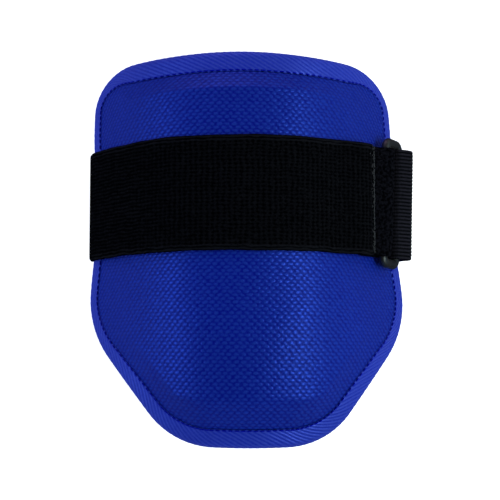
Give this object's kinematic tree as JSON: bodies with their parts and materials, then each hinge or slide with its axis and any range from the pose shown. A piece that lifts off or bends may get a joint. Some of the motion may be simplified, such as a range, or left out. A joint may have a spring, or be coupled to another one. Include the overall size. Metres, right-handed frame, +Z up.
{
  "type": "elbow guard",
  "caption": "Arched padded elbow guard for a batter, with a taped edge and one wide elastic strap that runs over the front and through a plastic ring at its side.",
  "frame": {"origin": "centre of the bounding box in plan, on the floor that the strap's flat stretch lies on", "axes": "+Z up out of the arched outer face, +Y towards the wide upper-arm end, +X to the side with the ring"},
  "size_m": [0.1496, 0.1733, 0.0615],
  "materials": {
    "pad_cloth": "woven, matt",
    "binding_tape": "twill tape",
    "strap_elastic": "ribbed elastic",
    "tab_tape": "brushed tape",
    "ring_plastic": "satin moulded",
    "loop_webbing": "ribbed webbing"
  },
  "bodies": {
    "root": {"pad_shell": "pad_cloth", "edge_binding": "binding_tape", "elastic_strap": "strap_elastic", "hook_tab": "tab_tape", "strap_ring": "ring_plastic", "ring_loop": "loop_webbing"}
  },
  "joints": []
}
